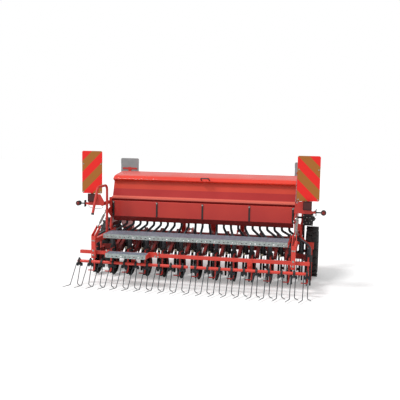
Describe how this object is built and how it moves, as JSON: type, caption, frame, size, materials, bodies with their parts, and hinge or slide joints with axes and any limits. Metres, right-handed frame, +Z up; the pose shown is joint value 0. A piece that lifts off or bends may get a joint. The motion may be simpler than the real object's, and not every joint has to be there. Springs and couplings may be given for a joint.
{
  "type": "mounted seed drill",
  "caption": "Mounted seed drill: full-width seed hopper with lid, metering row, seed tubes to disc coulters, side wheels, rear walkway, spring-tine following harrow and warning boards.",
  "frame": {"origin": "middle of the whole machine's box, on the ground the wheels and coulter discs stand on", "axes": "+X to the drill's right as seen from behind, +Y forwards to the tractor, +Z up"},
  "size_m": [3.306, 2.206, 1.704],
  "materials": {
    "red_hopper": "gloss red paint on pressed sheet",
    "red_lid": "gloss red paint on pressed sheet",
    "red_cover": "gloss red paint on pressed sheet",
    "red_frame": "powder-coated red steel",
    "red_arm": "powder-coated dark red steel",
    "black_metal": "satin black paint",
    "black_cast": "painted black casting",
    "black_plastic": "moulded black plastic",
    "black_tube": "smooth black plastic tube",
    "black_rubber": "moulded black rubber",
    "tyre_rubber": "tractor-pattern tyre",
    "rim_grey": "light grey wheel paint",
    "disc_steel": "ground steel disc",
    "spring_steel": "dark spring steel",
    "zinc_steel": "zinc-plated steel",
    "pin_steel": "turned and plated steel",
    "galvanised": "hot-dip galvanised sheet",
    "board_paint": "white reflective sheet with diagonal red stripes",
    "lamp_red": "moulded red lamp lens"
  },
  "bodies": {
    "root": {"side_plates": "red_frame", "cover_hinge_rod": "zinc_steel", "front_toolbar": "red_frame", "coulter_bar": "red_frame", "headstock": "red_frame", "lower_link_pins": "pin_steel", "hopper": "red_hopper", "metering_units": "black_plastic", "lid_hinges": "zinc_steel", "coulter_arms_rear": "red_arm", "coulter_arms_front": "red_arm", "coulter_discs_rear": "disc_steel", "coulter_discs_front": "disc_steel", "coulter_boots_rear": "black_cast", "coulter_boots_front": "black_cast", "depth_skids": "red_arm", "pressure_springs": "spring_steel", "pressure_shaft": "red_frame", "seed_tubes_rear": "black_tube", "seed_tubes_front": "black_tube", "hopper_posts": "red_frame", "walkway": "galvanised", "walkway_brackets": "red_frame", "handrail": "red_frame", "handrail_plug": "black_plastic", "board_brackets_rear": "red_frame", "warning_boards_rear": "board_paint", "rear_lamps": "lamp_red", "lamp_lead": "black_rubber", "marker_lamps": "black_rubber", "board_brackets_front": "red_frame", "warning_boards_front": "board_paint", "wheel_carriers": "red_frame", "drive_gearbox": "black_metal", "drive_case": "black_metal", "track_eradicators": "red_arm"},
    "lid": {"hopper_lid": "red_lid", "lid_handle": "black_plastic"},
    "cover": {"metering_cover": "red_cover", "cover_straps": "black_rubber"},
    "wheel_left": {"tyre_left": "tyre_rubber", "rim_left": "rim_grey"},
    "wheel_right": {"tyre_right": "tyre_rubber", "rim_right": "rim_grey"},
    "harrow": {"harrow_beam": "red_arm", "harrow_arms": "red_arm", "harrow_pressure_rods": "spring_steel", "harrow_hangers": "red_arm", "harrow_step": "galvanised", "step_brackets": "red_frame"},
    "harrow_section_left": {"harrow_tube_left": "red_arm", "tine_clamps_left": "black_cast", "harrow_tines_left": "spring_steel"},
    "harrow_section_right": {"harrow_tube_right": "red_arm", "tine_clamps_right": "black_cast", "harrow_tines_right": "spring_steel"}
  },
  "joints": [
    {"name": "lid_hinge", "type": "hinge", "parent": "root", "child": "lid", "pos_m": [0, 0.728, 1.3], "axis": [-1, 0, 0], "range_deg": [0, 100]},
    {"name": "cover_hinge", "type": "hinge", "parent": "root", "child": "cover", "pos_m": [0, -0.058, 1.015], "axis": [-1, 0, 0], "range_deg": [0, 60]},
    {"name": "wheel_left_spin", "type": "hinge", "parent": "root", "child": "wheel_left", "pos_m": [-1.472, 0.53, 0.35], "axis": [1, 0, 0], "continuous": true},
    {"name": "wheel_right_spin", "type": "hinge", "parent": "root", "child": "wheel_right", "pos_m": [1.472, 0.53, 0.35], "axis": [1, 0, 0], "continuous": true},
    {"name": "harrow_lift", "type": "hinge", "parent": "root", "child": "harrow", "pos_m": [0, -0.062, 0.552], "axis": [-1, 0, 0], "range_deg": [0, 25]},
    {"name": "section_left_roll", "type": "hinge", "parent": "harrow", "child": "harrow_section_left", "pos_m": [-0.747, -0.672, 0.352], "axis": [0, 1, 0], "range_deg": [-3, 3]},
    {"name": "section_right_roll", "type": "hinge", "parent": "harrow", "child": "harrow_section_right", "pos_m": [0.747, -0.672, 0.352], "axis": [0, 1, 0], "range_deg": [-3, 3]}
  ]
}
